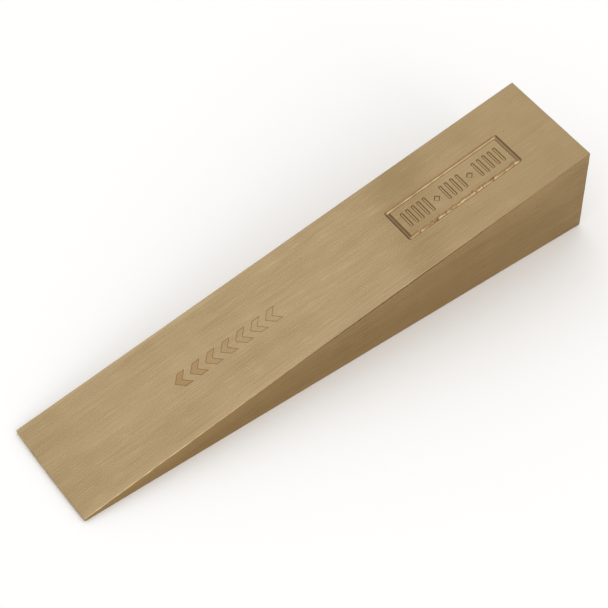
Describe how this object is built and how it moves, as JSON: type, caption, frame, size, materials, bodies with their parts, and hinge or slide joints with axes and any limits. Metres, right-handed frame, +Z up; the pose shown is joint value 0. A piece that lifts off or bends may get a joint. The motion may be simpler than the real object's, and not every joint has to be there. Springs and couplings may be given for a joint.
{
  "type": "taper wedge",
  "caption": "Solid bronze double-taper driving wedge with a square struck end, a blunt thin tip and an engraved panel on its upper sloping face.",
  "frame": {"origin": "middle of the rectangle under the wedge, on the surface that its lower sloping face lies on", "axes": "+X along the wedge from the struck end to the thin tip, +Y across its width, +Z up out of the surface it lies on"},
  "size_m": [0.203, 0.0396, 0.0393],
  "materials": {
    "bronze": "satin, belt-ground along its length"
  },
  "bodies": {
    "root": {"wedge_body": "bronze"}
  },
  "joints": []
}
